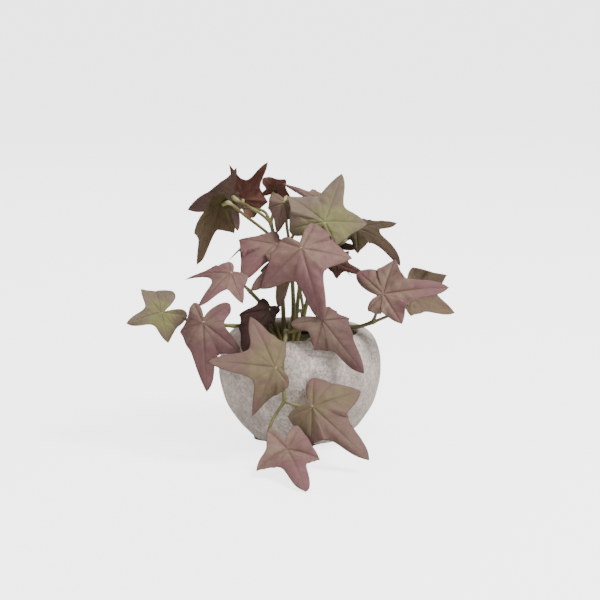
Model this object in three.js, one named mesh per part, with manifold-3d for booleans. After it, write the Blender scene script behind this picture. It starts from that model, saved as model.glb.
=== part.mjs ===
// Potted ivy: a round stone-look pot on a dark four-lobed foot, planting filler inside it, and an ivy plant of
// branching stalks with five-lobed leaves. Millimetres, +Z up. The origin is the middle of the foot pad's
// underside, and the plant's front faces -Y.
import * as THREE from "three";
import { mergeVertices } from "three/addons/utils/BufferGeometryUtils.js";
import Module from "manifold-3d";

// Driving dimensions
const POT_WIDEST = 61; // outer radius at the belly
const POT_HEIGHT = 85;
const FOOT_RADIUS = 35;
const FOOT_WAIST = 12;
const FOOT_HEIGHT = 4;
const FILLER_TOP = 72;
const GAP = 0.3; // clearance between pieces that touch
const LEAF_THICKNESS = 0.9;
const STALK_RADIUS = 1.4;
const PETIOLE_RADIUS = 0.95;
const ROUND_STEPS = 40; // facets around the pot
const STALK_SIDES = 6;
const PETIOLE_SIDES = 5;
const HALF_LOBE_STEPS = 2; // outline points on each side of a lobe

// A leaf's five veins fan out from where its stalk joins: right base lobe, right side lobe, tip, left side
// lobe, left base lobe. Angles are in degrees from the middle vein, reach is in leaf lengths, bend is how far
// a vein turns away from the upper face on its way to its tip, and dip is how far it already slopes at its
// root, both in degrees. blunt is the angle between a lobe's side and its vein at the tip, bays is how far out
// the four bays between the lobes lie, where 1 is on the straight line between the two tips, fold raises both
// halves of the blade into a V about the middle vein, and cup raises the base lobes.
const LEAF_FORM = {
  veins: [-128, -66, 0, 66, 128],
  reach: [0.45, 0.74, 1, 0.74, 0.45],
  bend: [20, 22, 22, 22, 20],
  dip: [8, 6, 0, 6, 8],
  blunt: [74, 46, 46, 46, 74],
  bays: [0.9, 0.64, 0.64, 0.9],
  fold: 0,
  cup: 0,
};
const NOTCH_REACH = 0.1; // the notch where the stalk comes in
const SINUS_TURN = 12; // how far the two base lobes turn in towards the notch, in degrees
const BLADE_PUFF = 0.075; // how far the blade swells between two veins

const COLOURS = {
  pot: 0xb9b2aa,
  foot: 0x4a4643,
  filler: 0x3a3324,
  stalk: 0x6d6a3c,
  rosy: 0x97797a,
  tan: 0x8b7c69,
  green: 0x8f8d6a,
  dark: 0x5a4340,
  olive: 0x5f5844,
};

const wasm = await Module();
wasm.setup();

const radians = THREE.MathUtils.degToRad;
const point = (p) => new THREE.Vector3(...p);

// Where each leaf sits: the point where its stalk joins, the tip of its middle lobe, the direction that its
// upper face looks in (degrees round from the front towards +X, and degrees up), and its own lobes.
const LEAVES = [
  { name: "crest_left", base: [-57, -17, 182], tip: [-76, -24, 138], face: [-140, 10], colour: "olive",
    veins: [-115, -50, 0, 48, 110], reach: [0.2, 0.52, 1, 0.88, 0.4], bend: [20, 25, 25, 45, 20],
    blunt: [74, 46, 62, 26, 74], bays: [0.8, 0.68, 0.8, 0.75] },
  { name: "crest_under", base: [-50, 9.6, 184.2], tip: [-84.5, 12, 173.2], face: [-155, 14], colour: "rosy",
    veins: [-125, -82, 0, 116, 160], reach: [0.3, 0.75, 1, 0.95, 0.2], blunt: [74, 46, 46, 18, 60],
    bays: [0.8, 0.6, 0.9, 0.5] },
  { name: "crest_top", base: [-43, 30, 179], tip: [-24, 14, 210], face: [172, 25], colour: "dark",
    veins: [-95, -46, 0, 60, 115], reach: [0.42, 0.9, 1, 0.5, 0.4], blunt: [84, 14, 30, 46, 74],
    bays: [0.85, 0.5, 0.7, 0.9] },
  { name: "crown_dark", base: [-19.5, 22, 186], tip: [-10.5, 8, 197], face: [178, 30], colour: "dark",
    veins: [-120, -50, 0, 66, 128], reach: [0.5, 1.1, 1, 0.7, 0.6], bays: [0.7, 0.75, 0.8, 0.8] },
  { name: "crown_green", base: [18, -26, 170], tip: [31, 0, 202.5], face: [8, 35], colour: "green",
    veins: [-134, -66, 0, 66, 116], reach: [0.46, 0.8, 1, 0.88, 0.62], bend: [20, 25, 15, 25, 20],
    bays: [1, 0.62, 0.7, 0.97] },
  { name: "crown_inner", base: [-12, -4, 181], tip: [-17, -4, 158.2], face: [-10, 10], colour: "tan",
    veins: [-110, -60, 0, 60, 110], reach: [0.55, 0.6, 1, 0.55, 0.5], bays: [1, 0.9, 0.9, 1] },
  { name: "crown_back", base: [14, 16, 181], tip: [-13, 6, 195], face: [0, 36], colour: "rosy",
    reach: [0.35, 0.36, 1, 0.5, 0.4], bend: [25, 45, 15, 60, 30] },
  { name: "right_high", base: [42, 2, 161], tip: [74.5, -6, 134], face: [15, 58], colour: "olive",
    veins: [-128, -60, 0, 62, 112], reach: [0.25, 0.5, 1, 0.8, 0.55], bend: [20, 40, 75, 20, 10],
    blunt: [74, 46, 46, 46, 84], bays: [0.8, 0.7, 0.5, 0.7] },
  { name: "right_low", base: [22, 6, 150], tip: [43, 0, 146], face: [0, -20], colour: "dark",
    reach: [0.4, 0.6, 1, 0.6, 0.4] },
  { name: "heart", base: [1, -44, 153], tip: [17, -58, 101], face: [-5, 20], colour: "rosy",
    veins: [-130, -66, 0, 66, 138], reach: [0.34, 0.77, 1, 0.7, 0.42], bend: [25, 25, 15, 30, 30],
    blunt: [84, 44, 44, 46, 84], bays: [1.1, 0.58, 0.62, 1.05], cup: 0.9 },
  { name: "shoulder", base: [-18, -16.5, 151.7], tip: [-44, -28, 126.8], face: [-15, 30], colour: "rosy",
    reach: [0.45, 0.84, 1, 0.45, 0.3], bays: [0.9, 0.95, 0.7, 0.8] },
  { name: "shoulder_strip", base: [-11, -30, 142.6], tip: [-36, -37, 120.6], face: [-15, 15], colour: "tan",
    reach: [0.4, 0.5, 1, 0.5, 0.4] },
  { name: "inner_tan", base: [-9, -17, 137], tip: [-16, -22, 105], face: [0, 5], colour: "tan",
    reach: [0.45, 0.66, 1, 0.5, 0.3] },
  { name: "left_rose", base: [-51, -31, 132.8], tip: [-74, -45.5, 110.6], face: [-20, 25], colour: "rosy",
    veins: [-130, -60, 0, 64, 128], reach: [0.46, 1.15, 1, 0.72, 0.4], bend: [20, 40, 20, 25, 20],
    blunt: [74, 12, 46, 46, 74], bays: [0.8, 0.45, 0.6, 0.9] },
  { name: "far_left", base: [-102, -34, 104], tip: [-127, -40, 97], face: [-10, 15], colour: "green",
    veins: [-138, -72, 0, 88, 160], reach: [0.8, 0.9, 1, 0.87, 0.82], bend: [15, 15, 15, 15, 15],
    bays: [1, 0.62, 0.63, 0.92] },
  { name: "left_low", base: [-70, -54, 100], tip: [-67.5, -64, 51], face: [-8, 20], colour: "rosy",
    veins: [-155, -80, 0, 50, 128], reach: [0.38, 0.46, 1, 0.7, 0.5], bend: [20, 45, 25, 25, 20],
    bays: [0.9, 0.92, 0.66, 0.68], cup: 0.6 },
  { name: "rim_dark", base: [-23, -34, 106], tip: [-42, -44, 76], face: [-10, -25], colour: "dark",
    veins: [-128, -50, 0, 60, 128], reach: [0.28, 0.6, 1, 0.3, 0.3], blunt: [74, 46, 60, 46, 74],
    bays: [0.9, 1, 0.8, 0.9] },
  { name: "front_tan", base: [-18, -76, 72], tip: [-66, -82, 78], face: [-10, 20], colour: "tan",
    veins: [-108, -64, 0, 73, 140], reach: [0.46, 0.87, 1, 0.8, 0.4], bend: [20, 20, 15, 20, 30],
    blunt: [74, 46, 40, 34, 74], bays: [0.95, 0.6, 0.56, 0.95] },
  { name: "front_right", base: [9, -81, 44], tip: [49, -100, 10], face: [5, 12], colour: "tan",
    veins: [-122, -50, 0, 66, 138], reach: [0.38, 0.5, 1, 0.66, 0.48], blunt: [74, 46, 46, 62, 74],
    bays: [1.05, 0.8, 0.69, 0.95] },
  { name: "floor_leaf", base: [-9, -95, 16.3], tip: [4, -150, 1.5], face: [0, 70], colour: "rosy",
    reach: [0.34, 0.5, 1, 0.42, 0.34], dip: [-50, 6, 0, 6, -50], bays: [0.85, 0.75, 0.75, 1] },
  { name: "rim_right", base: [16, -55, 102], tip: [46, -66, 65], face: [5, 30], colour: "rosy",
    veins: [-128, -52, 0, 62, 114], reach: [0.48, 0.45, 1, 0.45, 0.3], bend: [20, 20, 15, 20, 20],
    bays: [0.75, 0.8, 0.95, 0.95] },
  { name: "far_right", base: [61, -30, 117], tip: [109, -32, 123], face: [10, 35], colour: "rosy",
    veins: [-140, -66, 0, 66, 128], reach: [0.36, 0.62, 1, 0.62, 0.62], bend: [20, 20, 15, 20, 20],
    bays: [0.9, 0.7, 0.65, 0.9], fold: 0.35 },
  { name: "far_right_under", base: [83, -8, 110], tip: [116, -4, 98], face: [190, -10], colour: "tan",
    veins: [-114, -54, 0, 80, 130], reach: [0.7, 0.9, 1, 0.4, 0.35], bays: [0.98, 0.75, 0.85, 0.85] },
  { name: "inner_maroon", base: [27, -11.5, 137.2], tip: [47, -9, 128.5], face: [0, 0], colour: "dark",
    reach: [0.4, 0.6, 1, 0.6, 0.4] },
  { name: "back_crown", base: [15, 30, 165], tip: [25, 62, 140], face: [165, 25], colour: "tan" },
  { name: "back_shoulder", base: [-30, 25, 150], tip: [-30, 60, 127], face: [-170, 25], colour: "rosy" },
  { name: "back_heart", base: [18, 32, 136], tip: [12, 64, 112], face: [175, 25], colour: "rosy" },
  { name: "back_drape_left", base: [-25, 76, 68], tip: [-40, 84, 24], face: [-165, 15], colour: "tan" },
  { name: "back_drape_right", base: [26, 74, 62], tip: [50, 78, 22], face: [160, 15], colour: "rosy" },
];

// The plant's stalks. Each runs from the filler through its own points, and carries petioles that leave it at
// one of those points and pass through a few more before they meet their leaf from below.
const STALKS = [
  { name: "stalk_crest", path: [[-12, -2, 74.6], [-13, -3, 108], [-16, 0, 135], [-19, 5, 152], [-22, 12, 164]],
    petioles: [
      { leaf: "crest_left", path: [[-19, 5, 152], [-28, 0, 161], [-41, -12, 173]] },
      { leaf: "crest_under", path: [[-22, 12, 164], [-30, 11, 171], [-38, 10, 176]] },
      { leaf: "crest_top", path: [[-22, 12, 164], [-28, 18, 172]] },
      { leaf: "crown_dark", path: [[-22, 12, 164], [-20, 14, 173]] },
      { leaf: "shoulder", path: [[-16, 0, 135], [-16, -3, 143]] },
    ] },
  { name: "stalk_crown", path: [[-6, 3, 74.6], [-5, 4, 100], [-6, 5, 125], [-8, 7, 150]],
    petioles: [
      { leaf: "crown_inner", path: [[-8, 7, 150], [-10, 6, 164]] },
      { leaf: "crown_back", path: [[-8, 7, 150], [0, 12, 162]] },
      { leaf: "crown_green", path: [[-6, 5, 125], [3, 0, 148], [12, -8, 160]] },
    ] },
  { name: "stalk_heart", path: [[-3, -5, 74.6], [3, -7, 98], [8, -8, 115], [18, -6, 136], [26, -3, 148]],
    petioles: [
      { leaf: "heart", path: [[8, -8, 115], [6, -22, 138]] },
      { leaf: "inner_maroon", path: [[18, -6, 136], [20, -5, 138]] },
      { leaf: "right_low", path: [[18, -6, 136], [15, 10, 148]] },
      { leaf: "right_high", path: [[26, -3, 148], [33, -4, 152]] },
      { leaf: "shoulder_strip", path: [[8, -8, 115], [9, -18, 127], [0, -23, 138]] },
      { leaf: "inner_tan", path: [[3, -7, 98], [-1, -10, 120]] },
    ] },
  { name: "stalk_left", path: [[-14, -6, 74.6], [-20, -10, 92], [-28, -14, 106], [-37, -19, 117]],
    petioles: [{ leaf: "left_rose", path: [[-37, -19, 117], [-45, -23, 126]] }] },
  { name: "stalk_rim_left", path: [[-16, -9, 74.6], [-24, -16, 88], [-36, -24, 92], [-50, -34, 94]],
    petioles: [
      { leaf: "rim_dark", path: [[-24, -16, 88], [-24, -22, 98]] },
      { leaf: "left_low", path: [[-50, -34, 94], [-58, -42, 97]] },
      { leaf: "far_left", path: [[-50, -34, 94], [-68, -31, 94], [-86, -22, 97]] },
    ] },
  { name: "stalk_trailing",
    path: [[-12, -12, 74.6], [-11, -28, 88], [-10, -44, 90.5], [-12, -58, 82], [-13, -65, 68], [-12, -68, 56],
      [-11, -70.5, 46]],
    petioles: [
      { leaf: "rim_right", path: [[-10, -44, 90.5], [2, -45, 94], [9, -45, 98]] },
      { leaf: "front_tan", path: [[-13, -65, 68]] },
      { leaf: "front_right", path: [[-11, -70.5, 46], [-2, -72, 43]] },
      { leaf: "floor_leaf", path: [[-11, -70.5, 46], [-20, -74, 32], [-22, -79, 20]] },
    ] },
  { name: "stalk_right", path: [[3, -11, 74.6], [14, -13, 83], [27, -14, 89], [43, -17, 90], [54, -20, 94]],
    petioles: [
      { leaf: "far_right", path: [[54, -20, 94], [57, -22, 103]] },
      { leaf: "far_right_under", path: [[54, -20, 94], [66, -19, 99], [75, -18, 105]] },
    ] },
  { name: "stalk_back", path: [[-4, 8, 74.6], [-2, 14, 100], [0, 18, 118]],
    petioles: [
      { leaf: "back_crown", path: [[0, 18, 118], [5, 18, 142]] },
      { leaf: "back_shoulder", path: [[0, 18, 118], [-14, 16, 132], [-26, 16, 146]] },
      { leaf: "back_heart", path: [[0, 18, 118], [8, 20, 128]] },
    ] },
  { name: "stalk_back_trailing", path: [[-8, 14, 74.6], [-6, 28, 88], [0, 44, 90.5], [2, 58, 83], [0, 66, 72]],
    petioles: [
      { leaf: "back_drape_left", path: [[0, 66, 72], [-10, 68, 72]] },
      { leaf: "back_drape_right", path: [[0, 66, 72], [10, 68, 68]] },
    ] },
];

// Pot wall and filling as [radius, height] from the middle outwards.
const POT_OUTSIDE = [[36, 4.3], [41, 9.5], [46.5, 15.5], [55.5, 30], [60, 45], [POT_WIDEST, 56], [59.8, 67],
  [56.5, 77], [51.5, 83], [47.5, POT_HEIGHT]];
const POT_INSIDE = [[44, 84], [42.5, 80], [44, 75], [50, 69], [55, 60], [56, 50], [52, 32], [42, 16], [34, 10]];
const POT_FLOOR = 10;
const FILLER_OUTSIDE = [[33, 10.4], [41, 16.4], [51, 32.4], [55, 50], [54, 60], [49, 69], [46, 71.5]];

function standard(colour, roughness) {
  return new THREE.MeshStandardMaterial({ color: COLOURS[colour], roughness, metalness: 0 });
}

function named(name, geometry, material) {
  const mesh = new THREE.Mesh(geometry, material);
  mesh.name = name;
  return mesh;
}

// A solid of revolution about Z from [radius, height] pairs that run anticlockwise from the axis back to it.
function turned(profile) {
  const geometry = new THREE.LatheGeometry(profile.map(([r, z]) => new THREE.Vector2(r, z)), ROUND_STEPS);
  return geometry.rotateX(Math.PI / 2);
}

function smoothed(points, steps) {
  const curve = new THREE.SplineCurve(points.map(([r, z]) => new THREE.Vector2(r, z)));
  return curve.getPoints(steps).map((p) => [p.x, p.y]);
}

function pot() {
  const wall = [...smoothed(POT_OUTSIDE, 16), ...smoothed(POT_INSIDE, 12)];
  const profile = [[0, FOOT_HEIGHT + GAP], ...wall, [0, POT_FLOOR]];
  return named("pot", turned(profile), standard("pot", 0.9));
}

// How far out the foot's edge is: four rounded lobes, with waists between them.
function footReach(angle) {
  return FOOT_RADIUS - FOOT_WAIST * (1 - (0.5 + 0.5 * Math.cos(4 * angle)) ** 2);
}

function foot() {
  const edge = Array.from({ length: ROUND_STEPS }, (_, i) => {
    const angle = (2 * Math.PI * i) / ROUND_STEPS;
    return new THREE.Vector2(Math.cos(angle), Math.sin(angle)).multiplyScalar(footReach(angle));
  });
  const settings = { depth: FOOT_HEIGHT, bevelEnabled: false };
  return named("foot_pad", new THREE.ExtrudeGeometry(new THREE.Shape(edge), settings), standard("foot", 0.8));
}

function filler() {
  const profile = [[0, POT_FLOOR + GAP], ...FILLER_OUTSIDE, [42, FILLER_TOP], [0, FILLER_TOP]];
  return named("planting_filler", turned(profile), standard("filler", 0.95));
}

const polar = (degrees, reach) =>
  new THREE.Vector2(Math.cos(radians(degrees)), Math.sin(radians(degrees))).multiplyScalar(reach);

// One side of a lobe from its tip to a bay. It leaves the tip at the lobe's blunt angle from the vein, and
// reaches the bay square to the bay's own direction, so that two lobes meet in a round.
function halfLobe(tip, bay, blunt, side) {
  const span = tip.distanceTo(bay);
  const leaving = tip.clone().negate().angle() - side * radians(blunt);
  const meeting = bay.y === 0 ? tip.angle() + side * radians(SINUS_TURN) : bay.angle() - (side * Math.PI) / 2;
  const handle = (from, angle, share) =>
    from.clone().add(new THREE.Vector2(Math.cos(angle), Math.sin(angle)).multiplyScalar(share * span));
  return new THREE.CubicBezierCurve(tip, handle(tip, leaving, 0.42), handle(bay, meeting, 0.22), bay);
}

// The leaf's outline in leaf lengths, x along the middle vein and y to the left, once round from the notch.
function outline(form) {
  const tips = form.veins.map((angle, i) => polar(angle, form.reach[i]));
  const notch = new THREE.Vector2(-NOTCH_REACH, 0);
  const bays = form.bays.map((share, i) => {
    const [reach, next, half] = [form.reach[i], form.reach[i + 1], (form.veins[i + 1] - form.veins[i]) / 2];
    const straight = (2 * reach * next * Math.cos(radians(half))) / (reach + next);
    return polar(form.veins[i] + half, share * straight);
  });
  const stops = [notch, ...bays, notch];
  return tips.flatMap((tip, i) => [
    ...halfLobe(tip, stops[i], form.blunt[i], -1).getPoints(HALF_LOBE_STEPS).reverse().slice(0, -1),
    ...halfLobe(tip, stops[i + 1], form.blunt[i], 1).getPoints(HALF_LOBE_STEPS).slice(0, -1),
  ]);
}

// The leaf's own directions: along the middle vein, to the left, out of the upper face, and its length.
function leafFrame(leaf, form) {
  const base = point(leaf.base);
  const chord = point(leaf.tip).sub(base);
  const [round, up] = leaf.face.map(radians);
  const face = new THREE.Vector3(Math.sin(round) * Math.cos(up), -Math.cos(round) * Math.cos(up), Math.sin(up));
  const halfBend = radians(form.bend[2]) / 2;
  const length = (chord.length() * halfBend) / Math.sin(halfBend);
  chord.normalize();
  face.addScaledVector(chord, -face.dot(chord)).normalize();
  const turn = radians(form.dip[2]) + halfBend;
  const along = chord.clone().multiplyScalar(Math.cos(turn)).addScaledVector(face, Math.sin(turn));
  const out = face.clone().multiplyScalar(Math.cos(turn)).addScaledVector(chord, -Math.sin(turn));
  return { base, along, left: new THREE.Vector3().crossVectors(out, along), out, length };
}

// A point of the blade. Each vein is a circular arc that starts at its dip and turns by its bend. Between two
// veins the blade mixes their two arcs by angle, and swells a little. The leaf's fold and cup come on top.
function bladePoint(form, frame, flat) {
  const { base, along, left, out, length } = frame;
  const rho = flat.length();
  const phi = Math.atan2(flat.y, flat.x);
  const angles = form.veins.map(radians);
  const around = [angles[4] - 2 * Math.PI, ...angles, angles[0] + 2 * Math.PI];
  const order = [4, 0, 1, 2, 3, 4, 0];
  const k = Math.max(0, around.slice(1, 6).filter((angle) => angle <= phi).length);
  const span = around[k + 1] - around[k];
  const place = new THREE.Vector3();
  const sides = [[k, Math.sin(around[k + 1] - phi)], [k + 1, Math.sin(phi - around[k])]];
  for (const [j, share] of sides) {
    const dip = radians(form.dip[order[j]]);
    const turn = radians(form.bend[order[j]]) / form.reach[order[j]];
    const forward = (Math.sin(dip + turn * rho) - Math.sin(dip)) / turn;
    const drop = (Math.cos(dip) - Math.cos(dip + turn * rho)) / turn;
    const weight = share / Math.sin(span);
    place.addScaledVector(along, weight * forward * Math.cos(around[j]));
    place.addScaledVector(left, weight * forward * Math.sin(around[j]));
    place.addScaledVector(out, -weight * drop);
  }
  const swell = BLADE_PUFF * rho * Math.sin((Math.PI * (phi - around[k])) / span);
  const lift = form.fold * Math.abs(flat.y) + form.cup * Math.min(flat.x, 0) ** 2;
  place.addScaledVector(out, swell + lift);
  return base.clone().addScaledVector(place, length);
}

// The blade as a closed skin: an upper and a lower fan of two rings round the stalk's joint, half the leaf's
// thickness to each side of the middle surface, and a rim that joins them.
function leafMesh(leaf) {
  const form = { ...LEAF_FORM, ...leaf };
  const frame = leafFrame(leaf, form);
  const rim = outline(form);
  const ring = (share) => rim.map((p) => bladePoint(form, frame, p.clone().multiplyScalar(share)));
  const rings = [ring(0.5), ring(1)];
  const count = rim.length;
  const corners = [];
  for (const face of [1, -1]) {
    const shift = frame.out.clone().multiplyScalar((face * LEAF_THICKNESS) / 2);
    for (const p of [frame.base, ...rings.flat()]) corners.push(...p.clone().add(shift).toArray());
  }
  const lower = 1 + 2 * count;
  const faces = [];
  for (let i = 0; i < count; i++) {
    const next = (i + 1) % count;
    const [a, b, c, d] = [1 + i, 1 + next, 1 + count + i, 1 + count + next];
    faces.push(0, a, b, a, c, d, a, d, b);
    faces.push(lower, lower + b, lower + a, lower + a, lower + d, lower + c, lower + a, lower + b, lower + d);
    faces.push(c, lower + c, lower + d, c, lower + d, d);
  }
  const geometry = new THREE.BufferGeometry();
  geometry.setAttribute("position", new THREE.Float32BufferAttribute(corners, 3));
  geometry.setIndex(faces);
  geometry.computeVertexNormals();
  return named(`leaf_${leaf.name}`, geometry, standard(leaf.colour, 0.7));
}

function solid(geometry) {
  const bare = geometry.clone();
  bare.deleteAttribute("normal");
  bare.deleteAttribute("uv");
  const merged = mergeVertices(bare, 1e-4);
  return new wasm.Manifold(new wasm.Mesh({
    numProp: 3,
    vertProperties: merged.attributes.position.array,
    triVerts: new Uint32Array(merged.index.array),
  }));
}

function geometryOf(manifold) {
  const mesh = manifold.getMesh();
  const geometry = new THREE.BufferGeometry();
  geometry.setAttribute("position", new THREE.Float32BufferAttribute(mesh.vertProperties, 3));
  geometry.setIndex([...mesh.triVerts]);
  geometry.computeVertexNormals();
  return geometry;
}

// A round rod along a smooth curve through the points.
function rod(points, radius, sides) {
  const section = new THREE.Shape();
  for (let i = 0; i < sides; i++) {
    const angle = (2 * Math.PI * i) / sides;
    const corner = [radius * Math.cos(angle), radius * Math.sin(angle)];
    if (i === 0) section.moveTo(...corner);
    else section.lineTo(...corner);
  }
  section.closePath();
  const steps = 3 * (points.length - 1);
  const extrudePath = new THREE.CatmullRomCurve3(points);
  return solid(new THREE.ExtrudeGeometry(section, { steps, extrudePath, curveSegments: 1 }));
}

// A petiole comes up behind its leaf, against the way the middle vein runs, and stops just short of the blade.
function petiole({ leaf: leafName, path }) {
  const leaf = LEAVES.find(({ name }) => name === leafName);
  const { base, along, out } = leafFrame(leaf, { ...LEAF_FORM, ...leaf });
  const end = base.clone().addScaledVector(out, -(LEAF_THICKNESS / 2 + GAP + PETIOLE_RADIUS));
  const approach = end.clone().addScaledVector(out, -5).addScaledVector(along, -4);
  return rod([...path.map(point), approach, end], PETIOLE_RADIUS, PETIOLE_SIDES);
}

function stalk({ name, path, petioles }) {
  const whole = petioles.map(petiole).reduce(
    (sum, part) => sum.add(part),
    rod(path.map(point), STALK_RADIUS, STALK_SIDES),
  );
  return named(name, geometryOf(whole), standard("stalk", 0.6));
}

const pottedIvy = new THREE.Group();
pottedIvy.add(pot(), foot(), filler(), ...STALKS.map(stalk), ...LEAVES.map(leafMesh));

export default pottedIvy;
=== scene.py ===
"""Looks for the potted ivy: fine leaf blades, stalks, pot, planting filler and four-lobed foot pad around
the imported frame.

Every shape is a surface of two parameters worked out with numpy. Placements are in millimetres and each
mesh is built in metres. The plant's front faces -Y.
"""

import bpy
import numpy as np
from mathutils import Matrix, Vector


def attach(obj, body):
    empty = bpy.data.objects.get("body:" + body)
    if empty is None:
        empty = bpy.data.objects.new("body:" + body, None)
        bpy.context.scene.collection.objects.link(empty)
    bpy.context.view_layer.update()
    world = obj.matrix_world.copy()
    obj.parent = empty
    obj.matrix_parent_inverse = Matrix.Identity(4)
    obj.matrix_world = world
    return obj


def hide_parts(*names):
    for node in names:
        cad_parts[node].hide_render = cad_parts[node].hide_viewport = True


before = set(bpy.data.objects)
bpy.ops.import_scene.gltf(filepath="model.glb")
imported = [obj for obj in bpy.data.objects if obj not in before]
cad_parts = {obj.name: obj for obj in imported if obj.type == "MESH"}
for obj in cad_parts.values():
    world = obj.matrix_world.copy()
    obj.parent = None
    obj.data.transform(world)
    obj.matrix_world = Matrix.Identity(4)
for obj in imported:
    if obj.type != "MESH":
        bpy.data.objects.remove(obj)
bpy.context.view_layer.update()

MM = 0.001

# The plain leaf form, which a row of LEAVES changes. Five veins fan out from the stalk's joint. Lengths are
# in leaf lengths and angles in degrees.
LEAF_FORM = {
    "veins": [-128, -66, 0, 66, 128],     # angle from the middle vein
    "reach": [0.45, 0.74, 1, 0.74, 0.45],
    "bend": [20, 22, 22, 22, 20],         # how far a vein curves away from the upper face by its tip
    "dip": [8, 6, 0, 6, 8],               # how far it points away from that face at the joint
    "blunt": [74, 46, 46, 46, 74],        # angle between a lobe's vein and its rim, at the tip
    "bays": [0.9, 0.64, 0.64, 0.9],       # a bay's reach, as a share of the straight line's between two tips
    "fold": 0,                            # lift on both sides of the middle vein
    "cup": 0,                             # lift behind the joint
    "lively": 1,                          # strength of the roll, the curl, the wave and the crimped rim
    # The tone also carries painted shade: it darkens leaves that lie in shadow.
    "tone_and_shade": 1,                            # brightness of the colour
}
NOTCH_REACH = 0.1
SINUS_TURN = 12
TIP_PULL = 0.42
BAY_PULL = 0.22
BLADE_PUFF = 0.1
RIM_DROOP = 0.035
ROLL = 0.75
CURL = 0.5
VEIN_SINK = 0.01
VEIN_WIDTH = 0.022
RIB_HEIGHT = 0.006
RIB_SPACING = 0.16
RIB_SLANT = 0.8
WAVE_HEIGHT = 0.022
CRIMP_HEIGHT = 0.016
FINE_CRIMP_HEIGHT = 0.011
PUCKER_HEIGHT = 0.008

# From here on lengths are in millimetres.
FLOOR_CLEARANCE = 0.4
BLADE_THICKNESS = 0.5
BLADE_RINGS = 26
HALF_LOBE_STEPS = 15

CURVE_STEPS = 10
STALK_RADIUS = 1.7
PETIOLE_RADIUS = 1.15
SLEEVE_RADIUS = 1.6
SLEEVE_LENGTH = 9
SLEEVE_STEP = 0.5
JOINT_GAP = 0.3
APPROACH_BEHIND = 6
APPROACH_ALONG = 4
PLANTED_DEPTH = 5
KNOT_LENGTH = 2.2
KNOT_SWELL = 0.22
PETIOLE_KNOT_LENGTH = 2.5
PETIOLE_KNOT_SWELL = 0.45
RIDGE_SWELL = 0.035
TUBE_END = 0.4
TUBE_SIDES = 14

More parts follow.
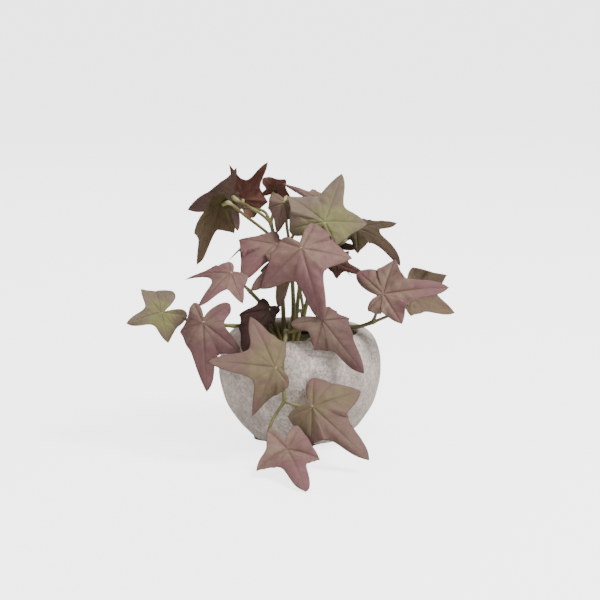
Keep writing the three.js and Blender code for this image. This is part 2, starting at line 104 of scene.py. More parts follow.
# Each leaf's joint and middle tip, and the way its upper face looks: degrees to the right of the front and
# degrees up. What follows differs from the plain form.
LEAVES = [
    dict(name="crest_left", base=[-57, -17, 182], tip=[-76, -24, 138], face=[-140, 10], colour="olive",
        veins=[-115, -50, 0, 48, 110], reach=[0.2, 0.52, 1, 0.88, 0.4], bend=[20, 25, 25, 45, 20],
        blunt=[74, 46, 62, 26, 74], bays=[0.8, 0.68, 0.8, 0.75], lively=0.5),
    dict(name="crest_under", base=[-50, 9.6, 184.2], tip=[-84.5, 12, 173.2], face=[-155, 14],
        colour="rosy", veins=[-125, -82, 0, 116, 160], reach=[0.3, 0.75, 1, 0.95, 0.2],
        blunt=[74, 46, 46, 18, 60], bays=[0.8, 0.6, 0.9, 0.5], tone_and_shade=0.72),
    dict(name="crest_top", base=[-43, 30, 179], tip=[-24, 14, 210], face=[172, 25], colour="dark",
        veins=[-95, -46, 0, 60, 115], reach=[0.42, 0.9, 1, 0.5, 0.4], blunt=[84, 14, 30, 46, 74],
        bays=[0.85, 0.5, 0.7, 0.9], tone_and_shade=2.8),
    dict(name="crown_dark", base=[-19.5, 22, 186], tip=[-10.5, 8, 197], face=[178, 30], colour="dark",
        veins=[-120, -50, 0, 66, 128], reach=[0.5, 1.1, 1, 0.7, 0.6], bays=[0.7, 0.75, 0.8, 0.8],
        tone_and_shade=2.3),
    dict(name="crown_green", base=[18, -26, 170], tip=[31, 0, 202.5], face=[8, 35], colour="green",
        veins=[-134, -66, 0, 66, 116], reach=[0.46, 0.8, 1, 0.88, 0.62], bend=[20, 25, 15, 25, 20],
        bays=[1, 0.62, 0.7, 0.97], tone_and_shade=0.85),
    dict(name="crown_inner", base=[-12, -4, 181], tip=[-17, -4, 158.2], face=[-10, 10], colour="tan",
        veins=[-110, -60, 0, 60, 110], reach=[0.55, 0.6, 1, 0.55, 0.5], bays=[1, 0.9, 0.9, 1]),
    dict(name="crown_back", base=[14, 16, 181], tip=[-13, 6, 195], face=[0, 36], colour="rosy",
        reach=[0.35, 0.36, 1, 0.5, 0.4], bend=[25, 45, 15, 60, 30], tone_and_shade=0.85),
    dict(name="right_high", base=[42, 2, 161], tip=[74.5, -6, 134], face=[15, 58], colour="olive",
        veins=[-128, -60, 0, 62, 112], reach=[0.25, 0.5, 1, 0.8, 0.55], bend=[20, 40, 75, 20, 10],
        blunt=[74, 46, 46, 46, 84], bays=[0.8, 0.7, 0.5, 0.7], tone_and_shade=0.75, lively=0.5),
    dict(name="right_low", base=[22, 6, 150], tip=[43, 0, 146], face=[0, -20], colour="dark",
        reach=[0.4, 0.6, 1, 0.6, 0.4]),
    dict(name="heart", base=[1, -44, 153], tip=[17, -58, 101], face=[-5, 20], colour="rosy",
        veins=[-130, -66, 0, 66, 138], reach=[0.34, 0.77, 1, 0.7, 0.42], bend=[25, 25, 15, 30, 30],
        blunt=[84, 44, 44, 46, 84], bays=[1.1, 0.58, 0.62, 1.05], cup=0.9, lively=1.3),
    dict(name="shoulder", base=[-18, -16.5, 151.7], tip=[-44, -28, 126.8], face=[-15, 30],
        colour="rosy", reach=[0.45, 0.84, 1, 0.45, 0.3], bays=[0.9, 0.95, 0.7, 0.8], tone_and_shade=1.1,
        lively=0.5),
    dict(name="shoulder_strip", base=[-11, -30, 142.6], tip=[-36, -37, 120.6], face=[-15, 15],
        colour="tan", reach=[0.4, 0.5, 1, 0.5, 0.4]),
    dict(name="inner_tan", base=[-9, -17, 137], tip=[-16, -22, 105], face=[0, 5], colour="tan",
        reach=[0.45, 0.66, 1, 0.5, 0.3], tone_and_shade=1.15),
    dict(name="left_rose", base=[-51, -31, 132.8], tip=[-74, -45.5, 110.6], face=[-20, 25],
        colour="rosy", veins=[-130, -60, 0, 64, 128], reach=[0.46, 1.15, 1, 0.72, 0.4],
        bend=[20, 40, 20, 25, 20], blunt=[74, 12, 46, 46, 74], bays=[0.8, 0.45, 0.6, 0.9], lively=0.6),
    dict(name="far_left", base=[-102, -34, 104], tip=[-127, -40, 97], face=[-10, 15], colour="green",
        veins=[-138, -72, 0, 88, 160], reach=[0.8, 0.9, 1, 0.87, 0.82], bend=[15, 15, 15, 15, 15],
        bays=[1, 0.62, 0.63, 0.92], tone_and_shade=0.9),
    dict(name="left_low", base=[-70, -54, 100], tip=[-67.5, -64, 51], face=[-8, 20], colour="rosy",
        veins=[-155, -80, 0, 50, 128], reach=[0.38, 0.46, 1, 0.7, 0.5], bend=[20, 45, 25, 25, 20],
        bays=[0.9, 0.92, 0.66, 0.68], cup=0.6, tone_and_shade=0.82, lively=1.3),
    # Painted shade: this leaf's under face lies in shadow, and its dark colour and tone of 0.62 darken it
    # further.
    dict(name="rim_dark", base=[-23, -34, 106], tip=[-42, -44, 76], face=[-10, -25], colour="dark",
        veins=[-128, -50, 0, 60, 128], reach=[0.28, 0.6, 1, 0.3, 0.3], blunt=[74, 46, 60, 46, 74],
        bays=[0.9, 1, 0.8, 0.9], tone_and_shade=0.62),
    dict(name="front_tan", base=[-18, -76, 72], tip=[-66, -82, 78], face=[-10, 20], colour="tan",
        veins=[-108, -64, 0, 73, 140], reach=[0.46, 0.87, 1, 0.8, 0.4], bend=[20, 20, 15, 20, 30],
        blunt=[74, 46, 40, 34, 74], bays=[0.95, 0.6, 0.56, 0.95]),
    dict(name="front_right", base=[9, -81, 44], tip=[49, -100, 10], face=[5, 12], colour="tan",
        veins=[-122, -50, 0, 66, 138], reach=[0.38, 0.5, 1, 0.66, 0.48], blunt=[74, 46, 46, 62, 74],
        bays=[1.05, 0.8, 0.69, 0.95]),
    dict(name="floor_leaf", base=[-9, -95, 16.3], tip=[4, -150, 1.5], face=[0, 70], colour="rosy",
        reach=[0.34, 0.5, 1, 0.42, 0.34], dip=[-50, 6, 0, 6, -50], bays=[0.85, 0.75, 0.75, 1],
        lively=0.4),
    # Painted shade: this leaf lies in the heart's shadow, and its tone of 0.72 darkens it.
    dict(name="rim_right", base=[16, -55, 102], tip=[46, -66, 65], face=[5, 30], colour="rosy",
        veins=[-128, -52, 0, 62, 114], reach=[0.48, 0.45, 1, 0.45, 0.3], bend=[20, 20, 15, 20, 20],
        bays=[0.75, 0.8, 0.95, 0.95], tone_and_shade=0.72),
    dict(name="far_right", base=[61, -30, 117], tip=[109, -32, 123], face=[10, 35], colour="rosy",
        veins=[-140, -66, 0, 66, 128], reach=[0.36, 0.62, 1, 0.62, 0.62], bend=[20, 20, 15, 20, 20],
        bays=[0.9, 0.7, 0.65, 0.9], fold=0.35, lively=1.3),
    dict(name="far_right_under", base=[83, -8, 110], tip=[116, -4, 98], face=[190, -10], colour="tan",
        veins=[-114, -54, 0, 80, 130], reach=[0.7, 0.9, 1, 0.4, 0.35], bays=[0.98, 0.75, 0.85, 0.85]),
    dict(name="inner_maroon", base=[27, -11.5, 137.2], tip=[47, -9, 128.5], face=[0, 0], colour="dark",
        reach=[0.4, 0.6, 1, 0.6, 0.4], tone_and_shade=1.3),
    dict(name="back_crown", base=[15, 30, 165], tip=[25, 62, 140], face=[165, 25], colour="tan"),
    dict(name="back_shoulder", base=[-30, 25, 150], tip=[-30, 60, 127], face=[-170, 25], colour="rosy"),
    dict(name="back_heart", base=[18, 32, 136], tip=[12, 64, 112], face=[175, 25], colour="rosy"),
    dict(name="back_drape_left", base=[-25, 76, 68], tip=[-40, 84, 24], face=[-165, 15], colour="tan"),
    dict(name="back_drape_right", base=[26, 74, 62], tip=[50, 78, 22], face=[160, 15], colour="rosy"),
]

# Each stalk's route out of the filling, and the route of the side stalk that goes to each leaf.
STALKS = [
    dict(name="stalk_crest",
        path=[[-12, -2, 74.6], [-13, -3, 108], [-16, 0, 135], [-19, 5, 152], [-22, 12, 164]],
        petioles={
            "crest_left": [[-19, 5, 152], [-28, 0, 161], [-41, -12, 173]],
            "crest_under": [[-22, 12, 164], [-30, 11, 171], [-38, 10, 176]],
            "crest_top": [[-22, 12, 164], [-28, 18, 172]],
            "crown_dark": [[-22, 12, 164], [-20, 14, 173]],
            "shoulder": [[-16, 0, 135], [-16, -3, 143]],
        }),
    dict(name="stalk_crown",
        path=[[-6, 3, 74.6], [-5, 4, 100], [-6, 5, 125], [-8, 7, 150]],
        petioles={
            "crown_inner": [[-8, 7, 150], [-10, 6, 164]],
            "crown_back": [[-8, 7, 150], [0, 12, 162]],
            "crown_green": [[-6, 5, 125], [3, 0, 148], [12, -8, 160]],
        }),
    dict(name="stalk_heart",
        path=[[-3, -5, 74.6], [3, -7, 98], [8, -8, 115], [18, -6, 136], [26, -3, 148]],
        petioles={
            "heart": [[8, -8, 115], [6, -22, 138]],
            "inner_maroon": [[18, -6, 136], [20, -5, 138]],
            "right_low": [[18, -6, 136], [15, 10, 148]],
            "right_high": [[26, -3, 148], [33, -4, 152]],
            "shoulder_strip": [[8, -8, 115], [9, -18, 127], [0, -23, 138]],
            "inner_tan": [[3, -7, 98], [-1, -10, 120]],
        }),
    dict(name="stalk_left",
        path=[[-14, -6, 74.6], [-20, -10, 92], [-28, -14, 106], [-37, -19, 117]],
        petioles={
            "left_rose": [[-37, -19, 117], [-45, -23, 126]],
        }),
    dict(name="stalk_rim_left",
        path=[[-16, -9, 74.6], [-24, -16, 88], [-36, -24, 92], [-50, -34, 94]],
        petioles={
            "rim_dark": [[-24, -16, 88], [-24, -22, 98]],
            "left_low": [[-50, -34, 94], [-58, -42, 97]],
            "far_left": [[-50, -34, 94], [-68, -31, 94], [-86, -22, 97]],
        }),
    dict(name="stalk_trailing",
        path=[[-12, -12, 74.6], [-11, -28, 88], [-10, -44, 90.5], [-12, -58, 82], [-13, -65, 68],
            [-12, -68, 56], [-11, -70.5, 46]],
        petioles={
            "rim_right": [[-10, -44, 90.5], [2, -45, 94], [9, -45, 98]],
            "front_tan": [[-13, -65, 68]],
            "front_right": [[-11, -70.5, 46], [-2, -72, 43]],
            "floor_leaf": [[-11, -70.5, 46], [-20, -74, 32], [-22, -79, 20]],
        }),
    dict(name="stalk_right",
        path=[[3, -11, 74.6], [14, -13, 83], [27, -14, 89], [43, -17, 90], [54, -20, 94]],
        petioles={
            "far_right": [[54, -20, 94], [57, -22, 103]],
            "far_right_under": [[54, -20, 94], [66, -19, 99], [75, -18, 105]],
        }),
    dict(name="stalk_back",
        path=[[-4, 8, 74.6], [-2, 14, 100], [0, 18, 118]],
        petioles={
            "back_crown": [[0, 18, 118], [5, 18, 142]],
            "back_shoulder": [[0, 18, 118], [-14, 16, 132], [-26, 16, 146]],
            "back_heart": [[0, 18, 118], [8, 20, 128]],
        }),
    dict(name="stalk_back_trailing",
        path=[[-8, 14, 74.6], [-6, 28, 88], [0, 44, 90.5], [2, 58, 83], [0, 66, 72]],
        petioles={
            "back_drape_left": [[0, 66, 72], [-10, 68, 72]],
            "back_drape_right": [[0, 66, 72], [10, 68, 68]],
        }),
]

# Profiles as [radius, height] pairs.
POT_OUTSIDE = [[36, 4.3], [41, 9.5], [46.5, 15.5], [55.5, 30], [60, 45], [61, 56], [59.8, 67], [56.5, 77],
    [51.5, 83], [47.5, 85]]
POT_INSIDE = [[44, 84], [42.5, 80], [44, 75], [50, 69], [55, 60], [56, 50], [52, 32], [42, 16], [34, 10]]
POT_FLOOR = 10
POT_BOTTOM = 4.3
POT_UNEVEN = 0.3
POT_COLUMNS = 220
FOOT_RADIUS = 35
FOOT_WAIST = 12
FOOT_HEIGHT = 4
FOOT_BEVEL = 0.8
FILLER_BOTTOM = 10.4
FILLER_OUTSIDE = [[33, 10.4], [41, 16.4], [51, 32.4], [55, 50], [54, 60], [49, 69], [44, 71.5]]
FILLER_TOP = 72
FILLER_TOP_RADIUS = 43
FILLER_TOP_STEPS = 60
HEAP_MIDDLE = (-6, -2)
HEAP_HEIGHT = 2.2
TURNED_COLUMNS = 180


# Meshes

def build_piece(name, points, quads, triangles, uv=None, marks=None):
    """A mesh object from arrays: points in millimetres, quads and triangles as rows of point numbers, uv one
    pair for each point, and marks a dictionary of one number for each point."""
    mesh = bpy.data.meshes.new(name)
    loops = np.concatenate([quads.ravel(), triangles.ravel()]).astype(np.int32)
    sizes = np.concatenate([np.full(len(quads), 4), np.full(len(triangles), 3)])
    mesh.vertices.add(len(points))
    mesh.vertices.foreach_set("co", (points * MM).astype(np.float32).ravel())
    mesh.loops.add(len(loops))
    mesh.loops.foreach_set("vertex_index", loops)
    mesh.polygons.add(len(sizes))
    mesh.polygons.foreach_set("loop_start", np.concatenate([[0], np.cumsum(sizes)[:-1]]).astype(np.int32))
    mesh.update(calc_edges=True)
    mesh.polygons.foreach_set("use_smooth", np.ones(len(sizes), dtype=bool))
    if uv is not None:
        layer = mesh.uv_layers.new(name="blade")
        layer.data.foreach_set("uv", uv[loops].astype(np.float32).ravel())
    for mark, values in (marks or {}).items():
        attribute = mesh.attributes.new(mark, "FLOAT", "POINT")
        attribute.data.foreach_set("value", values.astype(np.float32))
    mesh.validate()
    piece = bpy.data.objects.new(name, mesh)
    bpy.context.collection.objects.link(piece)
    return piece


def closed_grid(rows, columns):
    """Faces of a skin made of `rows` rings of `columns` points, closed round each ring and closed at both
    ends by a single point: point 0 before the first ring and the last point after the last ring."""
    ring = np.arange(columns)
    after = (ring + 1) % columns
    start = 1 + columns * np.arange(rows - 1)[:, None]
    quads = np.stack([start + ring, start + columns + ring, start + columns + after, start + after], axis=-1)
    last = 1 + columns * (rows - 1)
    end = 1 + columns * rows
    first_fan = np.stack([np.zeros(columns, dtype=int), 1 + ring, 1 + after], axis=-1)
    last_fan = np.stack([np.full(columns, end), last + after, last + ring], axis=-1)
    return quads.reshape(-1, 4), np.concatenate([first_fan, last_fan])


def catmull(points):
    """A smooth curve through the points: on each stretch the cubic whose slope at a point is half the step
    from the point before it to the point after it."""
    points = np.asarray(points, dtype=float)
    before = np.concatenate([[2 * points[0] - points[1]], points[:-2]])
    after = np.concatenate([points[2:], [2 * points[-1] - points[-2]]])
    t = (np.arange(CURVE_STEPS) / CURVE_STEPS)[None, :, None]
    p0, p1, p2, p3 = (a[:, None, :] for a in (before, points[:-1], points[1:], after))
    v1, v2 = (p2 - p0) / 2, (p3 - p1) / 2
    curve = (2 * p1 - 2 * p2 + v1 + v2) * t**3 + (-3 * p1 + 3 * p2 - 2 * v1 - v2) * t**2 + v1 * t + p1
    return np.concatenate([curve.reshape(-1, points.shape[1]), points[-1:]])


def full_circle(columns):
    """Angles in even steps once round."""
    return 2 * np.pi * np.arange(columns) / columns


def unit(vectors):
    return vectors / np.linalg.norm(vectors, axis=-1, keepdims=True)


def distance_along(route):
    """How far each point of a route is from the first, along the route."""
    return np.concatenate([[0], np.cumsum(np.linalg.norm(np.diff(route, axis=0), axis=1))])


# Leaves

def polar(degrees, reach):
    """The flat point at an angle and a distance: the distance times the angle's cosine and sine."""
    angle = np.radians(degrees)
    return np.array([np.cos(angle), np.sin(angle)]) * reach


def half_lobe(tip, bay, blunt, side):
    """One side of a lobe from its tip to a bay, as a cubic curve. It leaves the tip at the angle `blunt`
    from the vein and reaches the bay square to the bay's own direction, so that two lobes meet in a round.
    The notch is a bay too, and there the curve comes in near the direction of the lobe's own vein."""
    t = np.linspace(0, 1, HALF_LOBE_STEPS + 1)[:, None]
    span = np.linalg.norm(tip - bay)
    at_tip = np.arctan2(-tip[1], -tip[0]) - side * np.radians(blunt)
    leaving = np.array([np.cos(at_tip), np.sin(at_tip)])
    at_bay = np.arctan2(bay[1], bay[0]) - side * np.pi / 2
    if bay[1] == 0:
        at_bay = np.arctan2(tip[1], tip[0]) + side * np.radians(SINUS_TURN)
    meeting = np.array([np.cos(at_bay), np.sin(at_bay)])
    first = tip + TIP_PULL * span * leaving
    second = bay + BAY_PULL * span * meeting
    return (1 - t) ** 3 * tip + 3 * t * (1 - t) ** 2 * first + 3 * t**2 * (1 - t) * second + t**3 * bay


def leaf_outline(form):
    """The outline once round from the notch, in leaf lengths: x along the middle vein, y to the left."""
    tips = [polar(a, r) for a, r in zip(form["veins"], form["reach"])]
    notch = np.array([-NOTCH_REACH, 0.0])
    bays = []
    for i, share in enumerate(form["bays"]):
        half = (form["veins"][i + 1] - form["veins"][i]) / 2
        reach, following = form["reach"][i], form["reach"][i + 1]
        straight = 2 * reach * following * np.cos(np.radians(half)) / (reach + following)
        bays.append(polar(form["veins"][i] + half, share * straight))
    stops = [notch, *bays, notch]
    sides = []
    for i, tip in enumerate(tips):
        blunt = form["blunt"][i]
        sides.append(half_lobe(tip, stops[i], blunt, -1)[::-1][:-1])
        sides.append(half_lobe(tip, stops[i + 1], blunt, 1)[:-1])
    return np.concatenate(sides)


def leaf_frame(leaf, form):
    """The leaf's base, its length, and its directions there: along the middle vein, to the left and out
    of the upper face. The vein's arc is as long as its chord, base to tip, needs it to be."""
    base, tip = np.array(leaf["base"], dtype=float), np.array(leaf["tip"], dtype=float)
    chord = tip - base
    turn_round, up = np.radians(leaf["face"])
    face = np.array([np.sin(turn_round) * np.cos(up), -np.cos(turn_round) * np.cos(up), np.sin(up)])
    half_bend = np.radians(form["bend"][2]) / 2
    length = np.linalg.norm(chord) * half_bend / np.sin(half_bend)
    chord = unit(chord)
    face = unit(face - (face @ chord) * chord)
    turn = np.radians(form["dip"][2]) + half_bend
    along = np.cos(turn) * chord + np.sin(turn) * face
    out = np.cos(turn) * face - np.sin(turn) * chord
    return {"base": base, "along": along, "left": np.cross(out, along), "out": out, "length": length}


def vein_places(form, flat):
    """For each flat point: its distance and angle from the joint, the veins' angles, the stretch between two
    veins that it lies on and its share of that stretch. Last comes the point with its angle moved to the
    same share of the plain leaf form's stretch, which is what the vein pattern is drawn in."""
    rho = np.hypot(flat[..., 0], flat[..., 1])
    phi = np.arctan2(flat[..., 1], flat[..., 0])
    angles = np.radians(np.array(form["veins"], dtype=float))
    around = np.concatenate([angles[-1:] - 2 * np.pi, angles, angles[:1] + 2 * np.pi])
    plain = np.radians(np.array(LEAF_FORM["veins"], dtype=float))
    plain = np.concatenate([plain[-1:] - 2 * np.pi, plain, plain[:1] + 2 * np.pi])
    stretch = np.clip(np.searchsorted(around, phi, side="right") - 1, 0, 5)
    share = (phi - around[stretch]) / (around[stretch + 1] - around[stretch])
    plain_phi = plain[stretch] + share * (plain[stretch + 1] - plain[stretch])
    plain_flat = np.stack([rho * np.cos(plain_phi), rho * np.sin(plain_phi)], axis=-1)
    return rho, phi, around, stretch, share, plain_flat


def vein_arc(form, vein, rho):
    """How far along and how far down a vein is at a distance rho from the joint: an arc that starts at its
    dip and turns evenly, by its bend over its whole reach."""
    start = np.radians(form["dip"][vein])
    turn = np.radians(form["bend"][vein]) / form["reach"][vein]
    forward = (np.sin(start + turn * rho) - np.sin(start)) / turn
    drop = (np.cos(start) - np.cos(start + turn * rho)) / turn
    return forward, drop


def blade_middle(form, directions, flat, share, seed):
    """The blade's middle surface at flat points, each at its own share of the way from the joint to the rim.
    Between two veins the blade mixes their arcs by angle. Its height over that is a sum: a swell between
    veins (a sine), a sink along them (a bell), soft slanted ribs between the side veins (a cosine), a droop
    at the rim (the share's fourth power), fine puckers (products of sines), the fold and the cup. Each lobe
    also rolls about its vein and curls across it (the offset from the vein and its square), and the blade
    has a broad wave and a crimped rim (sines round the joint)."""
    rho, phi, around, stretch, between, plain = vein_places(form, flat)
    order = np.array([4, 0, 1, 2, 3, 4, 0])
    arrays = {key: np.array(form[key], dtype=float) for key in ("dip", "bend", "reach")}
    place = np.zeros(flat.shape[:-1] + (3,))
    span = around[stretch + 1] - around[stretch]
    for near, other in ((stretch, stretch + 1), (stretch + 1, stretch)):
        weight = np.sin(np.abs(around[other] - phi)) / np.sin(span)
        forward, drop = vein_arc(arrays, order[near], rho)
        angle = around[near]
        place += (weight * forward * np.cos(angle))[..., None] * directions["along"]
        place += (weight * forward * np.sin(angle))[..., None] * directions["left"]
        place -= (weight * drop)[..., None] * directions["out"]
    lively = form["lively"]
    nearest = order[np.where(between < 0.5, stretch, stretch + 1)]
    offset = np.where(between < 0.5, between, between - 1) * span * rho
    swell = BLADE_PUFF * rho * np.sin(np.pi * between) ** 0.9
    sink = VEIN_SINK * np.exp(-((offset / VEIN_WIDTH) ** 2)) * np.minimum(rho * 8, 1)
    slant = 2 * np.pi * (rho - RIB_SLANT * np.abs(offset)) / RIB_SPACING
    inner = 1 - share**4
    ribs = RIB_HEIGHT * np.cos(slant) * np.clip(np.abs(offset) / 0.08, 0, 1) * inner
    droop = RIM_DROOP * share**4 * np.minimum(np.abs(offset) / 0.1, 1)
    phase = 1.7 * seed + 2.4 * nearest
    roll = ROLL * np.sin(phase) * offset * np.clip(rho, 0, 1) + CURL * np.cos(1.3 * phase) * offset**2
    x, y = plain[..., 0], plain[..., 1]
    wave = WAVE_HEIGHT * np.sin(7 * x + 2.1 * seed) * np.sin(6 * y + 0.9 * seed) * rho
    crimp = CRIMP_HEIGHT * np.sin(5 * phi + 1.7 * seed) + FINE_CRIMP_HEIGHT * np.sin(12 * phi + 2.9 * seed)
    pucker = PUCKER_HEIGHT * np.sin(9 * x + phase) * np.sin(8 * y + 1.3 * seed) * inner
    lift = form["fold"] * np.abs(flat[..., 1]) + form["cup"] * np.minimum(flat[..., 0], 0) ** 2
    height = swell + lift - sink + ribs - droop + pucker + lively * (roll + wave + share**3 * crimp)
    place += height[..., None] * directions["out"]
    return directions["base"] + directions["length"] * place, plain


def leaf_piece(leaf, seed):
    """A leaf as one closed skin: rings from the stalk's joint out to the rim on the upper face, once round
    the thin rounded edge, and back in on the under face, each set off along the blade's own normal. The seed
    is the leaf's number, and it only shifts the waves."""
    form = {**LEAF_FORM, **leaf}
    directions = leaf_frame(leaf, form)
    rim = leaf_outline(form)
    columns = len(rim)
    share = (np.arange(1, BLADE_RINGS + 1) / BLADE_RINGS) ** 0.9
    middle, plain = blade_middle(form, directions, share[:, None, None] * rim[None], share[:, None], seed)
    middle[..., 2] = np.maximum(middle[..., 2], FLOOR_CLEARANCE)
    round_step = np.roll(middle, -1, axis=1) - np.roll(middle, 1, axis=1)
    out_step = np.gradient(middle, axis=0)
    normal = unit(np.cross(out_step, round_step))
    thin = np.sqrt(np.clip(1 - share**10, 0, 1))[:, None, None] * BLADE_THICKNESS / 2
    upper = middle + thin * normal
    lower = (middle - thin * normal)[::-1][1:]
    root = directions["base"]
    lift = directions["out"] * BLADE_THICKNESS / 2
    points = np.concatenate([[root + lift], upper.reshape(-1, 3), lower.reshape(-1, 3), [root - lift]])
    flat = np.concatenate([[[0, 0]], plain.reshape(-1, 2), plain[::-1][1:].reshape(-1, 2), [[0, 0]]])
    under = np.concatenate([np.zeros(1 + upper.shape[0] * columns), np.ones(lower.shape[0] * columns + 1)])
    quads, triangles = closed_grid(2 * BLADE_RINGS - 1, columns)
    marks = {"under": under, "tone_and_shade": np.full(len(points), float(form["tone_and_shade"]))}
    return build_piece(leaf["name"] + "_leaf", points, quads, triangles, flat, marks)


# Stalks

def tube(route, radii):
    """A rod along a route with its own radius at each step, five faint ridges and blunt pointed ends. A
    ring's first direction is the cross product of the route's tangent with whichever axis the route runs
    along least, and its second is the cross product of the tangent with the first."""
    tangent = unit(np.gradient(route, axis=0))
    axis = np.eye(3)[np.argmin(np.abs(tangent).max(axis=0))]
    first = unit(np.cross(tangent, axis))
    second = np.cross(tangent, first)
    angle = full_circle(TUBE_SIDES)
    ridge = 1 + RIDGE_SWELL * np.cos(5 * angle)
    ring = np.cos(angle)[:, None] * first[:, None, :] + np.sin(angle)[:, None] * second[:, None, :]
    points = route[:, None, :] + (radii[:, None] * ridge)[..., None] * ring
    start = route[0] - tangent[0] * radii[0] * TUBE_END
    end = route[-1] + tangent[-1] * radii[-1] * TUBE_END
    quads, triangles = closed_grid(len(route), TUBE_SIDES)
    return np.concatenate([[start], points.reshape(-1, 3), [end]]), quads, triangles


def petiole_route(path, leaf):
    """A side stalk's route: through its own points, then up to the leaf's joint from behind the blade,
    leaning the way the middle vein runs."""
    form = {**LEAF_FORM, **leaf}
    directions = leaf_frame(leaf, form)
    end = directions["base"] - directions["out"] * (BLADE_THICKNESS / 2 + JOINT_GAP)
    approach = end - APPROACH_BEHIND * directions["out"] - APPROACH_ALONG * directions["along"]
    return catmull([*path, approach, end])


def stalk_piece(stalk):
    """A stalk with its side stalks. The main rod thins a little towards its end and swells at each joint. A
    side stalk has a knot where it leaves, and a thicker sleeve where it meets the leaf."""
    path = np.array(stalk["path"], dtype=float)
    path = np.concatenate([[path[0] - (0, 0, PLANTED_DEPTH)], path])
    route = catmull(path)
    along = distance_along(route)
    joints = [np.array(side_path[0], dtype=float) for side_path in stalk["petioles"].values()]
    knot = sum(np.exp(-((np.linalg.norm(route - joint, axis=1) / KNOT_LENGTH) ** 2)) for joint in joints)
    taper = 1.08 - 0.25 * along / along[-1]
    radii = STALK_RADIUS * taper * (1 + KNOT_SWELL * np.minimum(knot, 1))
    parts = [(*tube(route, radii), np.zeros(len(route)))]
    for leaf_name, side_path in stalk["petioles"].items():
        leaf = next(leaf for leaf in LEAVES if leaf["name"] == leaf_name)
        route = petiole_route(side_path, leaf)
        along = distance_along(route)
        left = along[-1] - along
        sleeve = 1 / (1 + np.exp((left - SLEEVE_LENGTH) / SLEEVE_STEP))
        start = PETIOLE_KNOT_SWELL * np.exp(-((along / PETIOLE_KNOT_LENGTH) ** 2))
        radii = PETIOLE_RADIUS * (1 + start)
        radii = radii + (SLEEVE_RADIUS - PETIOLE_RADIUS) * sleeve * (0.75 + 0.03 * left)
        parts.append((*tube(route, radii), sleeve))
    points, quads, triangles, sleeves = [], [], [], []
    shift = 0
    for part_points, part_quads, part_triangles, sleeve in parts:
        points.append(part_points)
        quads.append(part_quads + shift)
        triangles.append(part_triangles + shift)
        sleeves.append(np.concatenate([sleeve[:1], np.repeat(sleeve, TUBE_SIDES), sleeve[-1:]]))
        shift += len(part_points)
    joined = [np.concatenate(group) for group in (points, quads, triangles)]
    return build_piece(stalk["name"] + "_branch", *joined, marks={"sleeve": np.concatenate(sleeves)})


# Pot, filler and foot

def ripple(angle, height):
    """A gentle unevenness round a hand-cast wall, from -1 to 1: a few slow waves round and up."""
    return (
        0.5 * np.sin(3 * angle + 0.11 * height)
        + 0.3 * np.sin(7 * angle - 0.17 * height + 1.3)
        + 0.2 * np.sin(13 * angle + 0.31 * height + 0.4)
    )


def ring_points(radius, angle, height):
    """Points round Z: the radius times the angle's cosine and sine, at the height."""
    x, y = radius * np.cos(angle), radius * np.sin(angle)
    return np.stack([x, y, height + 0 * x], axis=-1)


def turned_skin(name, rings, first, last, marks=None):
    """A closed skin of rings round Z, closed at its ends by a first and a last point on the axis."""
    points = np.concatenate([[first], rings.reshape(-1, 3), [last]])
    quads, triangles = closed_grid(len(rings), rings.shape[1])
    return build_piece(name, points, quads[:, ::-1], triangles[:, ::-1], marks=marks)


def spaced(profile, step):
    """The same profile with a point at least every `step` along it."""
    profile = np.asarray(profile, dtype=float)
    along = distance_along(profile)
    fine = np.linspace(0, along[-1], int(along[-1] / step) + 1)
    return np.stack([np.interp(fine, along, profile[:, k]) for k in range(2)], axis=-1)


def pot_piece():
    """The pot: the wall's profile carried round Z, a little uneven. The inside is marked from the lip on,
    where it fades in over eight rings."""
    under = [[radius, POT_BOTTOM] for radius in (0, 12, 24, 34)]
    bed = [[radius, POT_FLOOR] for radius in (22, 10, 0)]
    profile = np.concatenate([under, catmull(POT_OUTSIDE + POT_INSIDE), bed])
    angle = full_circle(POT_COLUMNS)
    radius, height = profile[1:-1, 0][:, None], profile[1:-1, 1][:, None]
    radius = radius + POT_UNEVEN * ripple(angle[None], height) * np.clip(radius / 30, 0, 1)
    lip = len(under) + CURVE_STEPS * len(POT_OUTSIDE)
    ring = np.concatenate([[0], np.repeat(np.arange(1, len(profile) - 1), POT_COLUMNS), [len(profile)]])
    marks = {"inside": np.clip((ring - lip) / 8, 0, 1)}
    rings = ring_points(radius, angle, height)
    return turned_skin("stone_pot", rings, [0, 0, POT_BOTTOM], [0, 0, POT_FLOOR], marks)


def foot_piece():
    """The foot pad: a bevelled profile carried round Z and drawn in between four lobes. A lobe's shape is
    the square of a raised cosine of four times the angle."""
    profile = np.array([[0, 0], [15, 0], [FOOT_RADIUS - FOOT_BEVEL, 0], [FOOT_RADIUS - 0.3, 0.2],
        [FOOT_RADIUS, FOOT_BEVEL], [FOOT_RADIUS, FOOT_HEIGHT], [15, FOOT_HEIGHT], [0, FOOT_HEIGHT]])
    angle = full_circle(TURNED_COLUMNS)
    lobe = (0.5 + 0.5 * np.cos(4 * angle)) ** 2
    reach = 1 - FOOT_WAIST * (1 - lobe) / FOOT_RADIUS
    radius, height = profile[1:-1, 0][:, None] * reach, profile[1:-1, 1][:, None]
    return turned_skin("foot_disc", ring_points(radius, angle, height), [0, 0, 0], [0, 0, FOOT_HEIGHT])


